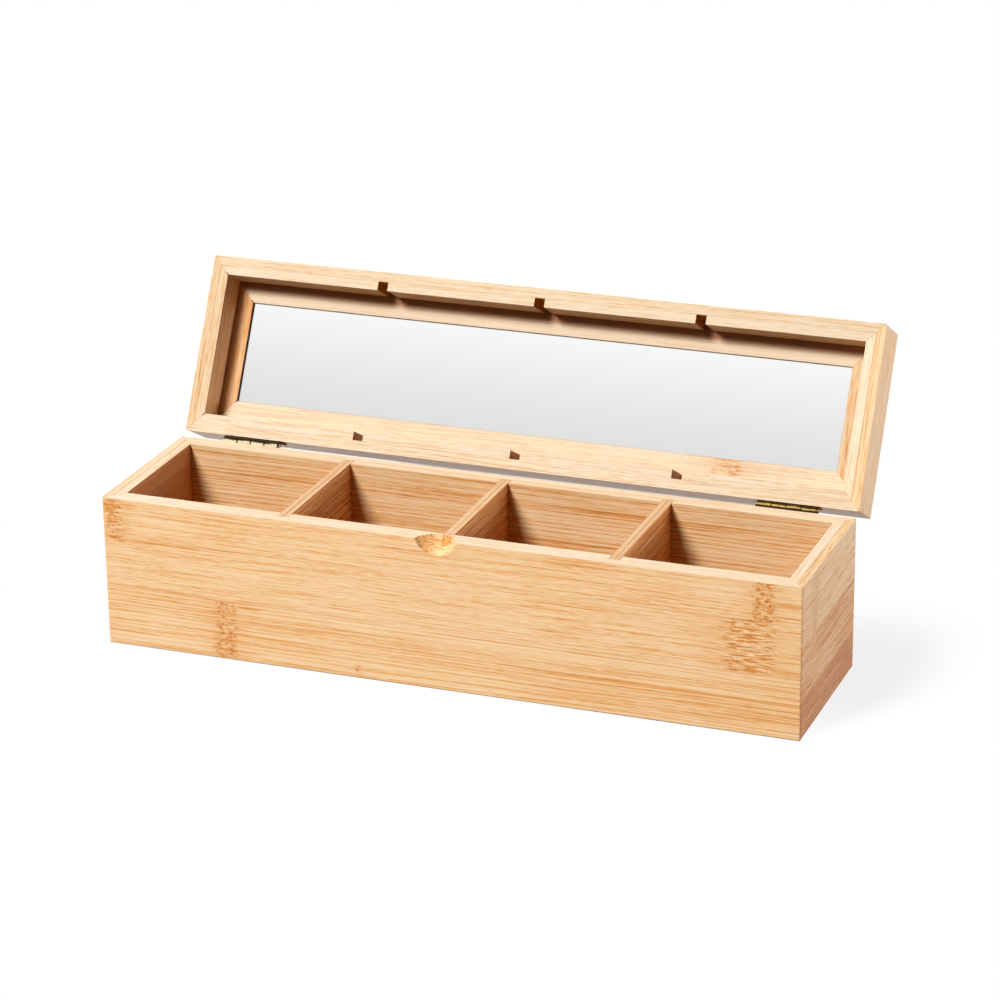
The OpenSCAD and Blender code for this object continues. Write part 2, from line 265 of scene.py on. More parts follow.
class BAMBOO_BOX_PG_wood(bpy.types.PropertyGroup):
    """Colours and sheen of the bamboo."""

    pale: colour("Pale", "Colour of the palest fibres", 248, 217, 173)
    face: colour("Face", "Colour of the flat faces between the fibres", 243, 203, 153)
    streak: colour("Streak", "Colour of the darker streaks", 229, 166, 98)
    fibre: colour("Fibre", "Colour of the darkest fibres", 198, 122, 56)
    edge: colour("Edge", "Colour of the palest sawn edges", 252, 236, 212)
    knot: colour("Knuckle", "Colour of the dashes in a culm's knuckle", 211, 128, 34)
    pore: colour("Pore", "Colour of the pores in a culm's knuckle and in end grain", 138, 62, 0)
    # Painted shade: the warm dark colour that shaded inner faces lean to, standing in for light bounced
    # between the boards.
    shaded: colour("Bare wood", "Colour that the bare wood inside the box leans to", 185, 95, 15)
    gap: colour("Gap", "Colour of the gaps where mitres gape", 40, 18, 4)
    glue: colour("Glue line", "Colour of the glue line between two plies", 168, 116, 72)
    roughness: share("Roughness", "Roughness of the sanded and lacquered faces", 0.45)
    lacquer: share("Lacquer", "Weight of the clear satin lacquer", 0.15)
    fibre_width: FloatProperty(
        name="Fibre width", description="Typical width of a visible fibre, in millimetres",
        min=0.2, max=4.0, default=0.45,
    )


class BAMBOO_BOX_PG_fittings(bpy.types.PropertyGroup):
    """Colours of the brass hinges and screws and of the pane."""

    # Brass: the bright colour shows in a painted highlight band along the knuckles, the palest is a painted
    # highlight on the left hinge, and the dark one shows where the brass is tarnished and also as painted
    # shade and dark reflection.
    brass: colour("Brass", "Colour of the worn, bright brass", 226, 190, 112)
    highlight_colour: colour("Polish", "Colour of the brass rubbed brightest, on the left hinge", 255, 246, 214)
    tarnish_and_shade_colour: colour("Tarnish", "Colour of the tarnished brass", 44, 30, 8)
    brass_roughness: share("Brass roughness", "Roughness of the brushed brass", 0.28)
    pane_tint: colour("Pane tint", "Tint of the light that comes through the pane", 254, 255, 254)
    smear: share("Pane smear", "Roughness that handling leaves on the pane", 0.06)


class BAMBOO_BOX_PG_stage(bpy.types.PropertyGroup):
    """Floor, lamps and camera."""

    floor: colour("Floor", "Colour of the floor", 250, 250, 250)
    bounce: colour("Floor bounce", "Colour of the light the floor throws back onto the box", 108, 84, 62)
    floor_size: FloatProperty(
        name="Floor size", description="Side of the square floor", unit="LENGTH", min=1.0, default=16.0
    )
    shadow: share("Floor shadow", "How strongly the box's shadow shows on the white floor", 0.16)
    mirrored: share("Mirrored floor", "How much of the floor's true shading the box mirrors", 0.3)
    behind: share("Floor through the pane", "How much of its true shading shows through the pane", 0.55)
    key_power: power("Key lamp", "Power of the lamp above the front left", 220.0)
    high_power: power("High lamp", "Power of the soft lamp high on the left", 1.5)
    side_power: power("Side lamp", "Power of the low lamp at the right", 20.0)
    back_power: power("Back lamp", "Power of the soft lamp behind", 8.0)
    room: share("Dark room", "How bright the room in front of the box looks when it is mirrored", 0.1)
    fill: FloatProperty(
        name="Room light", description="Strength of the even light from all round", min=0.0, default=0.01
    )


# ---- Shader recipes ----

BLACK = (0.0, 0.0, 0.0)
WHITE = (1.0, 1.0, 1.0)


class Socket:
    """A shader socket that takes part in arithmetic. Each operator adds a Math node."""

    def __init__(self, recipe, socket):
        self.recipe = recipe
        self.socket = socket

    def _math(self, operation, *values):
        return self.recipe.node("Math", {"operation": operation}, dict(enumerate(values)))

    def __add__(self, other):
        return self._math("ADD", self, other)

    def __radd__(self, other):
        return self._math("ADD", other, self)

    def __sub__(self, other):
        return self._math("SUBTRACT", self, other)

    def __rsub__(self, other):
        return self._math("SUBTRACT", other, self)

    def __mul__(self, other):
        return self._math("MULTIPLY", self, other)

    def __rmul__(self, other):
        return self._math("MULTIPLY", other, self)

    def __truediv__(self, other):
        return self._math("DIVIDE", self, other)

    def __rtruediv__(self, other):
        return self._math("DIVIDE", other, self)

    def __lt__(self, other):
        return self._math("LESS_THAN", self, other)

    def __gt__(self, other):
        return self._math("GREATER_THAN", self, other)

    def __abs__(self):
        return self._math("ABSOLUTE", self)

    def least(self, other):
        return self._math("MINIMUM", self, other)

    def most(self, other):
        return self._math("MAXIMUM", self, other)


class Recipe:
    """Fills the node tree of a material or a world."""

    def __init__(self, owner):
        owner.use_nodes = True
        self.owner = owner
        self.tree = owner.node_tree
        self.tree.nodes.clear()

    def node(self, kind, settings=None, values=None, output=0):
        """Adds a node, sets it up, then fills its sockets with values or links."""
        made = self.tree.nodes.new("ShaderNode" + kind)
        for key, value in (settings or {}).items():
            setattr(made, key, value)
        for key, value in (values or {}).items():
            if isinstance(value, Socket):
                self.tree.links.new(value.socket, made.inputs[key])
            else:
                made.inputs[key].default_value = value
        return Socket(self, made.outputs[output]) if made.outputs else None

    def shut_mm(self, lid):
        """Place on the shut box in millimetres: a lid's piece is swung back from the open lid."""
        place = self.node("TexCoord", output="Object")
        if not lid:
            return self.node("VectorMath", {"operation": "SCALE"}, {"Vector": place, "Scale": 1 / MM})
        turned = self.node("Mapping", {"vector_type": "TEXTURE"}, {
            "Vector": place, "Location": PIN_AXIS_M,
            "Rotation": (math.radians(-OPEN_ANGLE), 0.0, 0.0), "Scale": (MM, MM, MM)})
        back = tuple(value / MM for value in PIN_AXIS_M)
        return self.node("VectorMath", {"operation": "ADD"}, {0: turned, 1: back})

    def axes(self, vector):
        split = self.node("SeparateXYZ", values={0: vector}).socket.node
        return [Socket(self, split.outputs[axis]) for axis in (X, Y, Z)]

    def vector(self, x, y, z):
        return self.node("CombineXYZ", values={0: x, 1: y, 2: z})

    def distance(self, vector, place):
        """How far a vector is from a place, and the way between them."""
        offset = self.node("VectorMath", {"operation": "SUBTRACT"}, {0: vector, 1: place})
        return self.node("VectorMath", {"operation": "LENGTH"}, {0: offset}, output="Value"), offset

    def noise(self, vector, detail=2.0, roughness=0.5):
        return self.node("TexNoise", {"noise_dimensions": "3D"},
                         {"Vector": vector, "Scale": 1.0, "Detail": detail, "Roughness": roughness})

    def rise(self, value, off, on, start=0.0, end=1.0):
        """Smooth step: start where value is at off, and end where it is at on, whichever is the larger."""
        return self.node("MapRange", {"interpolation_type": "SMOOTHSTEP"},
                         {0: value, 1: off, 2: on, 3: start, 4: end})

    def fall(self, value, full, gone, start=1.0):
        """Smooth step from start, where value is at full, to 0, where it is at gone."""
        return self.rise(value, full, gone, start, 0.0)

    def blend(self, factor, first, second):
        """Colour mix."""
        first, second = (value if isinstance(value, Socket) else (*value, 1.0) for value in (first, second))
        return self.node("Mix", {"data_type": "RGBA", "blend_type": "MIX"},
                         {0: factor, 6: first, 7: second}, output=2)

    def finish(self, shader):
        """Links the shader to the output, and returns the material or world."""
        world = isinstance(self.owner, bpy.types.World)
        self.node("OutputWorld" if world else "OutputMaterial", values={"Surface": shader})
        return self.owner


def coat_node(name, material):
    """Gives a CAD node its material."""
    node = frame["nodes"][name]
    if not node.data.materials:
        node.data.materials.append(material)
    for slot in node.material_slots:
        slot.material = material


# ---- Bamboo ----

# Steps that keep the random numbers of boards, plies and strips apart, and the most that such a number moves
# a strip's pattern by.
SEED_STEP = 7.31
PLY_STEP = 41.7
STRIP_STEP = 13.9
STRIP_SLIP = 900.0

# Layers of fibres: length of a fibre, its pitch in fibre widths, detail of the noise, an offset of its own,
# and its weight in the darkness of the wood.
Fibres = namedtuple("Fibres", "run pitch detail offset weight")
FINE = Fibres(34.0, 1.15, 1.0, 3.1, 0.66)
FLECK = Fibres(6.0, 0.85, 0.0, 5.9, 0.45)
BROAD = Fibres(70.0, 7.0, 1.0, 0.0, 0.13)
LINES = Fibres(220.0, 1.55, 0.0, 11.3, 0.65)
THREAD = Fibres(45.0, 1.5, 0.0, 7.7, 0.13)
FIBRE_ROUGHNESS = 0.55
DARK_THREADS = (0.6, 0.7)
PALE_THREADS = (0.4, 0.3)
PALE_THREAD_WEIGHT = 0.09
HAZE_WEIGHT = 0.2
RULED_CALM = 0.4
MEAN_DARKNESS = 0.5
KIND_SPREAD = 0.06

# Sizes of the noises along the grain and across it.
DRIFT_SIZE = (120.0, 26.0)
CURL_SIZE = (11.0, 8.0)
HAZE_SIZE = (45.0, 14.0)
DASH_SIZE = (7.0, 0.85)
DASH_ROUGHNESS = 0.45
DOT_SIZE = (2.3, 1.7)
END_GRAIN_SIZE = (2.2, 0.7)

# How far the grain wanders across the board, in a plain strip and in a knuckle, and the share of it that goes
# through the board.
DRIFT = 2.0
CURL = 1.2
DRIFT_THROUGH = 0.3
SEAM_DRIFT = 0.8
GLUE_DRIFT = 0.5

# A knuckle's ragged ends: their waves in each millimetre along and across, and their reach in half lengths of
# the knuckle. Then its core and halo: where each starts and stops to fade, in half lengths.
RAGGED_WAVES = (0.16, 0.3)
RAGGED_REACH = 1.7
KNUCKLE_CORE = (0.5, 1.1)
KNUCKLE_HALO = (0.5, 2.6)

# The marks in a knuckle: where each sets in on its noise, and its strength.
HALO_TINT = 0.35
PALE_DASHES = (0.5, 0.38)
PALE_DASH_TINT = 0.8
DARK_DASHES = (0.5, 0.6)
DARK_DASH_TINT = 0.85
DARK_DOT_TINT = 0.5
DOTS_IN_DASHES = 0.2
RINGS = (0.7, 0.35)
RING_TINT = 0.85
PORES = (0.38, 0.2)
PORE_TINT = 0.62

# A stain's ends and sides: where each starts and stops to fade, in half lengths and half widths. Then its
# weight.
STAIN_ENDS = (0.3, 1.0)
STAIN_SIDES = (0.2, 1.0)
STAIN_WEIGHT = 0.3

# Darkness at which each colour starts to show and at which it shows fully, on the faces and on sawn edges.
FACE_AT = (0.32, 0.54)
STREAK_AT = (0.5, 0.72)
FIBRE_AT = (0.68, 0.95)
SAWN_FACE_AT = (0.42, 0.8)
SAWN_FACE_TINT = 0.8
SAWN_TINT = 0.9

# Thin lines, as the distances from their middle at which they start and stop to fade, and their strengths.
SEAM_LINE = (0.1, 0.4)
SEAM_TINT = 0.3
SAWN_EDGE = (0.02, 0.05)
GLUE_LINE = (0.08, 0.4)
HOUSING_LINE = (0.05, 0.45)
HOUSING_GAP = 0.1
HOUSING_TINT = 0.55
MITRE_LINE = (0.02, 0.3)
MITRE_TINT = 0.4
MITRE_GAPE = (0.3, 0.55)
GAPE_DEPTH = (1.6, 0.4)
GAPE_HEIGHT = (0.8, 0.4)
LINE_TINT = 0.85

# Depths before a face over which a mask sets in.
RIM_SKIN = (0.05, 0.02)
LIP_SKIN = (0.12, 0.02)
PLY_SKIN = (0.1, 0.02)
INNER_SKIN = (0.3, 0.1)
GROOVE_MARGIN = (0.1, 0.02)
GROOVE_TINT = 0.9

# The scoop: how far past the ball its surface counts, where the painted shade on the wall's left flank sets
# in, in parts of the radius, and its tints.
SCOOP_MARGIN = (0.03, 0.12)
SHADED_FLANK = (-0.1, 0.4)
FLANK_TINT = 0.6
FLANK_PORES = (0.56, 0.68)
FLANK_PORE_TINT = 0.8

# Painted shade inside: the depth at which it sets in on the lid, the depth over which it does, the share of
# it that a face with warm painted shade keeps, and where the rail's painted shadow on a frame strip fades,
# from the rail.
LID_SKIN = 0.1
SHADE_DEPTH = 0.2
WARM_SHADE = 0.3
RAIL_SHADOW_REACH = (7.0, 11.0)

COAT_ROUGHNESS = 0.2
SPECULAR = 0.25
BACK_RAIL_LACQUER = 0.28
BACK_RAIL_SKIN = (0.1, 0.4)
FINE_ROUGHNESS = 0.22
SAWN_ROUGHNESS = 0.12
BUMP_STRENGTH = 0.4
WOOD_BUMP_M = 0.00006


class Bamboo(Recipe):
    """Bamboo for one board: glued strips, fibres, knuckles, ply edges, glue line and mitres."""

    def __init__(self, board, wood):
        super().__init__(bpy.data.materials.new("bamboo_" + board.node))
        self.board = board
        self.wood = wood
        self.place = self.axes(self.shut_mm(on_lid(board.node)))
        self.along, self.across, self.through = (
            self.place[axis] + offset if sign > 0 else offset - self.place[axis]
            for axis, sign, offset in (board.along, board.across, board.through)
        )
        self.length, self.width, self.thick = board.size
        self.inner = self.through > board.line if board.line else None
        self.split_strips()
        self.find_knuckles()
        self.bend_grain()
        self.sum_darkness()

    def paint(self, amount, shade):
        """Covers the wood with a colour by a share, or where a mask is 1."""
        self.ground = self.blend(amount, self.ground, shade)

    def outer_only(self, mask):
        """Keeps a mask to the outer ply."""
        return mask * (1 - self.inner) if self.board.line else mask

    def just_before(self, value, face, skin, start=0.0, end=1.0):
        """Goes from start to end over the thin skin before a face."""
        return self.rise(value, face - skin[0], face - skin[1], start, end)

    def inner_face(self, start=0.0, end=1.0):
        return self.just_before(self.through, self.thick, INNER_SKIN, start, end)

    def cloud(self, size, detail, roughness=0.5, bent=False):
        """Noise with a size along the grain and a size across it, which bends with the grain or not."""
        run, pitch = size
        across, through = (self.cross, self.deep) if bent else (self.across, self.through)
        return self.noise(self.vector(self.along / run, across / pitch + self.slip, through / pitch),
                          detail, roughness)

    def split_strips(self):
        """Each strip of each ply is its own piece of bamboo, with a random kind, which slips its pattern."""
        board = self.board
        piece, self.tone, self.ruled = board.seed * SEED_STEP, board.tones[0], board.ruled[0]
        if board.line:
            piece = self.inner * PLY_STEP + piece
        strips = tuple(zip(board.tones, board.ruled))
        for seam, (tone, ruled), (next_tone, next_ruled) in zip(board.seams, strips, strips[1:]):
            above = self.across > seam
            piece = above * STRIP_STEP + piece
            self.tone = above * (next_tone - tone) + self.tone
            self.ruled = above * (next_ruled - ruled) + self.ruled
        self.kind = self.node("TexWhiteNoise", {"noise_dimensions": "1D"}, {"W": piece})
        self.slip = self.kind * STRIP_SLIP

    def find_knuckles(self):
        """Knuckles are ragged bands across a strip of the outer ply, filled with dashes, dots or both."""
        self.dashes = self.dots = self.halo = 0.0
        if not self.board.knots:
            return
        waves_along, waves_across = RAGGED_WAVES
        ragged = self.noise(self.vector(self.along * waves_along, self.across * waves_across + self.slip,
                                        self.through * waves_across))
        for centre, low, high, half, strength, dashed in self.board.knots:
            gap = abs(self.along - centre + (ragged - 0.5) * (RAGGED_REACH * half)) / half
            held = self.outer_only((self.across > low) * (self.across < high) * strength)
            core = self.fall(gap, *KNUCKLE_CORE) * held
            self.dashes = core * dashed + self.dashes
            self.dots = core * (1.0 - dashed) + self.dots
            self.halo = self.fall(gap, *KNUCKLE_HALO) * held + self.halo

    def bend_grain(self):
        """The grain wanders a little, and more in a knuckle."""
        run, pitch = DRIFT_SIZE
        place = self.vector(self.along / run + self.slip, self.across / pitch, self.through / pitch)
        self.drift = self.noise(place, 1.0) - 0.5
        shift = self.drift * DRIFT
        if self.board.knots:
            shift = shift + (self.cloud(CURL_SIZE, 0.0) - 0.5) * self.halo * CURL
        self.cross = self.across + shift
        self.deep = self.through + shift * DRIFT_THROUGH

    def fibres(self, layer):
        """Noise drawn out along the grain, from 0 to 1."""
        pitch = self.wood.fibre_width * layer.pitch
        place = self.vector(self.along / layer.run + self.slip + layer.offset, self.cross / pitch,
                            self.deep / pitch + layer.offset)
        return self.noise(place, layer.detail, FIBRE_ROUGHNESS)

    def sum_darkness(self):
        """Darkness of the wood: fibres of several widths, haze, the strip's own tone, and the stains."""
        self.fine = self.fibres(FINE) - 0.5
        fleck = self.fibres(FLECK) - 0.5
        broad = self.fibres(BROAD) - 0.5
        lines = self.fibres(LINES) - 0.5
        thread = self.fibres(THREAD)
        haze = self.cloud(HAZE_SIZE, 1.0) - 0.5
        crisp = self.rise(thread, *DARK_THREADS) * THREAD.weight
        crisp = crisp - self.rise(thread, *PALE_THREADS) * PALE_THREAD_WEIGHT
        short = self.fine * FINE.weight + fleck * FLECK.weight + crisp + broad * BROAD.weight
        short = (short + haze * HAZE_WEIGHT) * (1.0 - self.ruled * RULED_CALM)
        grain = (short + lines * self.ruled * LINES.weight) * self.board.contrast
        kind = self.kind * KIND_SPREAD - KIND_SPREAD / 2
        self.dark = grain + (kind + MEAN_DARKNESS) + self.tone
        for centre, level, half, half_width, strength in self.board.stains:
            end = abs(self.along - centre) / half
            side = abs(self.across - level + self.drift * DRIFT) / half_width
            held = self.fall(end, *STAIN_ENDS) * self.fall(side, *STAIN_SIDES, strength * STAIN_WEIGHT)
            self.dark = self.outer_only(held) + self.dark

    def paint_fibres(self):
        self.ground = self.blend(self.rise(self.dark, *FACE_AT), self.wood.pale, self.wood.face)
        self.paint(self.rise(self.dark, *STREAK_AT), self.wood.streak)
        self.paint(self.rise(self.dark, *FIBRE_AT), self.wood.fibre)
        if self.board.bleach:
            self.paint(self.board.bleach, self.wood.edge)

    def paint_knuckles(self):
        """Pale and dark dashes along the grain, and rings with a dark pore."""
        dash = self.cloud(DASH_SIZE, 1.0, DASH_ROUGHNESS, bent=True)
        run, pitch = DOT_SIZE
        place = self.vector(self.along / run + self.slip, self.cross / pitch, self.deep / pitch)
        dot = self.node("TexVoronoi", {"feature": "F1"}, {"Vector": place, "Scale": 1.0})
        self.paint(self.halo * HALO_TINT, self.wood.streak)
        self.paint(self.dashes * self.rise(dash, *PALE_DASHES) * PALE_DASH_TINT, self.wood.pale)
        amount = self.dashes * DARK_DASH_TINT + self.dots * DARK_DOT_TINT
        self.paint(amount * self.rise(dash, *DARK_DASHES), self.wood.knot)
        spots = self.dots + self.dashes * DOTS_IN_DASHES
        self.paint(spots * self.rise(dot, *RINGS) * RING_TINT, self.wood.knot)
        self.paint(spots * self.rise(dot, *PORES) * PORE_TINT, self.wood.pore)

    def paint_seams(self):
        for seam in self.board.seams:
            line = self.fall(abs(self.across - seam + self.drift * SEAM_DRIFT), *SEAM_LINE)
            self.paint(line * SEAM_TINT, self.wood.fibre)

    def paint_sawn_edges(self):
        """Sawn edges are paler than the faces, and the glue line shows on them."""
        board = self.board
        self.edge = self.fall(self.across.least(self.width - self.across), *SAWN_EDGE)
        outer_rim, inner_rim = board.rims
        rim = self.inner * (inner_rim - outer_rim) + outer_rim if board.line else outer_rim
        sawn_face = self.rise(self.dark, *SAWN_FACE_AT, 0.0, SAWN_FACE_TINT)
        self.paint(self.edge * rim * SAWN_TINT, self.blend(sawn_face, self.wood.edge, self.wood.face))
        if board.line:
            glue = self.fall(abs(self.through - board.line + self.drift * GLUE_DRIFT), *GLUE_LINE)
            self.paint(glue * board.glue, self.wood.glue)

    def paint_housings(self):
        """Fine lines on the rim round the dividers' ends, which are housed in the long walls."""
        rim_only = self.just_before(self.across, BODY_H, RIM_SKIN)
        for centre in DIVIDER_X:
            past = (abs(self.along - centre) - DIVIDER_T / 2).most(HOUSING - self.through)
            line = self.fall(abs(past - HOUSING_GAP), *HOUSING_LINE) * rim_only
            self.paint(line * HOUSING_TINT, self.wood.fibre)

    def paint_groove_shade(self):
        """Painted shade: a dark line for the shade in the pane's groove, seen past the thin lip round the
        window.
        """
        groove_shade = self.just_before(self.across, self.width, LIP_SKIN)
        self.paint(groove_shade * LINE_TINT, self.wood.pore)

    def paint_mitres(self):
        """A hairline where the board meets its neighbour. On the left of the lid the mitres gape inside."""
        by_depth = self.board.mitre_on == "through"
        depth = self.through if by_depth else self.across
        mitre = self.length / 2 - abs(self.along) - depth * self.board.meets
        self.paint(self.fall(mitre, *MITRE_LINE, MITRE_TINT), self.wood.fibre)
        if on_lid(self.board.node):
            far = (self.thick if by_depth else self.width) - depth
            gape = self.fall(mitre, *MITRE_GAPE) * self.rise(far, *GAPE_DEPTH) * (self.place[X] < 0.0)
            if by_depth:
                gape = gape * self.rise(self.across, *GAPE_HEIGHT)
            self.paint(gape * LINE_TINT, self.wood.gap)

    def paint_grooves(self):
        """The grooves in the lid's long rails are painted darker than its other faces."""
        inner_ply = self.just_before(self.through, self.board.line, PLY_SKIN)
        far, near = GROOVE_MARGIN
        for centre in DIVIDER_X:
            groove = self.rise(abs(self.along - centre), GROOVE_HALF + far, GROOVE_HALF + near) * inner_ply
            self.paint(groove * GROOVE_TINT, self.wood.knot)

    def paint_scoop(self):
        """The scoop shows darker end grain, on the wall only on its left flank, where it is also painted
        shade.
        """
        reach, offset = self.distance(self.vector(*self.place), SCOOP_CENTRE)
        near, far = SCOOP_MARGIN
        end_grain_and_shade = self.fall(reach, SCOOP_R + near, SCOOP_R + far)
        if self.board.node == "front_wall":
            end_grain_and_shade = self.rise(self.axes(offset)[X] / -SCOOP_R, *SHADED_FLANK) * end_grain_and_shade
        run, pitch = END_GRAIN_SIZE
        pores = self.noise(self.vector(self.along / run, self.across / pitch, self.through / pitch), 1.0)
        self.paint(end_grain_and_shade * FLANK_TINT, self.wood.streak)
        self.paint(end_grain_and_shade * self.rise(pores, *FLANK_PORES) * FLANK_PORE_TINT, self.wood.pore)

    def paint_inside(self):
        """Painted shade behind the outer face, warm painted shade on some inner faces, and the rail's painted
        shadow.
        """
        board = self.board
        if board.shade:
            face_at = LID_SKIN if on_lid(board.node) else self.thick - INNER_SKIN[0]
            painted_inside_shade = self.rise(self.through, face_at, face_at + SHADE_DEPTH, 0.0, board.shade)
            if board.warm:
                painted_inside_shade = painted_inside_shade * self.inner_face(1.0, WARM_SHADE)
            self.paint(painted_inside_shade, BLACK)
        if board.warm:
            self.paint(self.inner_face(0.0, board.warm), self.wood.shaded)
        # The rail's painted shadow on a frame strip, next to the rail.
        if board.corner:
            rail_shadow = self.fall(self.across, *RAIL_SHADOW_REACH, board.corner)
            self.paint(rail_shadow * self.inner_face(), self.wood.pore)

    def material(self):
        """Paints the board in order, and returns its lacquered material."""
        board = self.board
        self.paint_fibres()
        if board.knots:
            self.paint_knuckles()
        self.paint_seams()
        self.paint_sawn_edges()
        if board.node in ("front_wall", "back_wall"):
            self.paint_housings()
        if board.mitre_on == "across":
            self.paint_groove_shade()
        if board.meets:
            self.paint_mitres()
        if board.node in ("lid_front_rail", "lid_back_rail"):
            self.paint_grooves()
        if board.node in ("front_wall", "divider_centre"):
            self.paint_scoop()
        self.paint_inside()
        lacquer = self.wood.lacquer
        if board.node == "lid_back_rail":
            lacquer = self.rise(self.through, *BACK_RAIL_SKIN, BACK_RAIL_LACQUER, lacquer)
        rough = self.wood.roughness + self.fine * FINE_ROUGHNESS + self.edge * SAWN_ROUGHNESS
        bump = self.node("Bump", values={
            "Strength": BUMP_STRENGTH, "Distance": WOOD_BUMP_M, "Height": 1.0 - self.dark})
        return self.finish(self.node("BsdfPrincipled", values={
            "Base Color": self.ground, "Roughness": rough, "Normal": bump,
            "Coat Weight": lacquer, "Coat Roughness": COAT_ROUGHNESS, "Specular IOR Level": SPECULAR}))


# ---- Brass and pane ----

# Widths and length of a scratch, and the size of the clouds that blur the edges of the painted highlight
# band.
PLATE_SCRATCH = 0.35
SCREW_SCRATCH = 0.8
SCRATCH_RUN = 6.0
CLOUD_SIZE = (5.0, 4.0)

# The painted highlight is a band along the knuckles: where it sets in and where it fades, in parts of their
# radius above the pin, along a line that leans back by the given tilt in degrees. Away from it the brass
# takes painted shade and dark reflection.
HIGHLIGHT_TILT = 21.0
HIGHLIGHT_BLUR = 0.7
HIGHLIGHT_FROM = (-0.62, -0.4)
HIGHLIGHT_TO = (0.0, 0.4)

# Values on the left and on the right hinge, and the places along the box between which they change. The lift
# and narrowing place the painted highlight band, and the pale share makes the left hinge's highlight paler.
HINGE_HALVES = (-20.0, 20.0)
HIGHLIGHT_LIFT = (0.0, 0.25)
HIGHLIGHT_NARROWING = (0.0, 0.3)
PALE_HIGHLIGHT = (0.75, 0.0)
JOINT_STAIN = (0.85, 0.4)

JOINT_LINE = (0.2, 0.6)
DARK_SCRATCHES = (0.6, 0.8)
SCRATCH_STAIN = 0.08
SCRATCH_ROUGHNESS = 0.2
STAIN_ROUGHNESS = 0.15
CLEAN_ROUGHNESS = -0.05
CLEAN_METAL = 0.35
STAIN_METAL = 0.6
BRASS_SHEEN = (0.5, 0.32, 0.1, 1.0)
BRASS_BUMP_M = 0.00003

SMEAR_SIZE = (40.0, 26.0)
SMEARS = (0.45, 0.75)
PANE_IOR = 1.45


def brass(name, fittings, scratch_width):
    """Brushed brass: fine scratches along the hinge, and tarnished joints.

    A painted highlight band runs along the knuckles, with painted shade and dark reflection away from it.
    """
    recipe = Recipe(bpy.data.materials.new(name))
    x, y, z = recipe.axes(recipe.shut_mm(False))

    def by_hinge(pair):
        return recipe.rise(x, *HINGE_HALVES, *pair)

    run, pitch = CLOUD_SIZE
    cloud = recipe.noise(recipe.vector(x / run, y / pitch, z / pitch), 3.0)
    scratch = recipe.noise(recipe.vector(x / SCRATCH_RUN, y / scratch_width, z / scratch_width))
    tilt = math.radians(HIGHLIGHT_TILT)
    _, pin_y, pin_z = (value / MM for value in PIN_AXIS_M)
    height = ((z - pin_z) * math.cos(tilt) + (y - pin_y) * math.sin(tilt)) / BARREL_R
    height = height + (cloud - 0.5) * HIGHLIGHT_BLUR - by_hinge(HIGHLIGHT_LIFT)
    # A painted highlight band along the knuckles; the rest takes painted shade and dark reflection, besides
    # tarnished joints and scratches.
    lit = recipe.rise(height - by_hinge(HIGHLIGHT_NARROWING), *HIGHLIGHT_FROM) * recipe.fall(height, *HIGHLIGHT_TO)
    joint = 0.0
    for start in HINGE_STARTS:
        for count in range(1, KNUCKLES + 1):
            place = start + count * HINGE_L / KNUCKLES
            joint = recipe.fall(abs(x - place), *JOINT_LINE) + joint
    tarnish_and_shade_share = (1.0 - lit * (1.0 - joint * by_hinge(JOINT_STAIN))) * (1.0 - SCRATCH_STAIN)
    tarnish_and_shade_share = tarnish_and_shade_share + recipe.rise(scratch, *DARK_SCRATCHES) * SCRATCH_STAIN
    bright = recipe.blend(by_hinge(PALE_HIGHLIGHT), fittings.brass, fittings.highlight_colour)
    shade = recipe.blend(tarnish_and_shade_share, bright, fittings.tarnish_and_shade_colour)
    rough = (scratch - 0.5) * SCRATCH_ROUGHNESS + tarnish_and_shade_share * STAIN_ROUGHNESS
    rough = rough + (fittings.brass_roughness + CLEAN_ROUGHNESS)
    bump = recipe.node("Bump", values={
        "Strength": BUMP_STRENGTH, "Distance": BRASS_BUMP_M, "Height": scratch})
    return recipe.finish(recipe.node("BsdfPrincipled", values={
        "Base Color": shade, "Metallic": tarnish_and_shade_share * STAIN_METAL + CLEAN_METAL, "Roughness": rough,
        "Normal": bump, "Specular Tint": BRASS_SHEEN}))


def pane_glass(fittings):
    """Thin clear pane that lets the lamps through, with faint smears."""
    recipe = Recipe(bpy.data.materials.new("pane_glass"))
    x, y, z = recipe.axes(recipe.shut_mm(True))
    run, pitch = SMEAR_SIZE
    smear = recipe.noise(recipe.vector(x / run, y / pitch, z / pitch), 3.0)
    rough = recipe.rise(smear, *SMEARS) * fittings.smear
    tint = (*fittings.pane_tint, 1.0)
    glass = recipe.node("BsdfPrincipled", values={
        "Base Color": tint, "Roughness": rough, "Transmission Weight": 1.0, "IOR": PANE_IOR})
    clear = recipe.node("BsdfTransparent", values={"Color": tint})
    lamp_ray = recipe.node("LightPath", output="Is Shadow Ray")
    return recipe.finish(recipe.node("MixShader", values={0: lamp_ray, 1: glass, 2: clear}))


# ---- Stage ----

CAMERA_AT_M = (0.572143, -1.465932, 0.686847)
CAMERA_AZIMUTH = 20.885
CAMERA_ELEVATION = 21.096
CAMERA_ROLL = -0.721
CAMERA_LENS = 127.735
CAMERA_SENSOR = 36.0
CAMERA_CLIP_M = (0.01, 100.0)

# How far towards +Y a ray looks where the dark room starts to give way to the white backdrop, and where it
# has.
ROOM_TURN = (-0.1, 0.4)

# Lamps: place and size in metres, and colour. Each is aimed at the middle of the box.
AIM_M = (0.0, 0.0, 0.06)
Lamp = namedtuple("Lamp", "place size tint")
LAMPS = {
    "key": Lamp((-1.2, -2.6, 2.85), 1.15, WHITE),
    "high": Lamp((-0.6, -0.35, 1.5), 0.9, (1.0, 0.75, 0.5)),
    "side": Lamp((1.9, 0.35, 0.2), 0.5, (1.0, 0.96, 0.99)),
    "back": Lamp((-0.5, 1.9, 0.55), 1.0, WHITE),
}

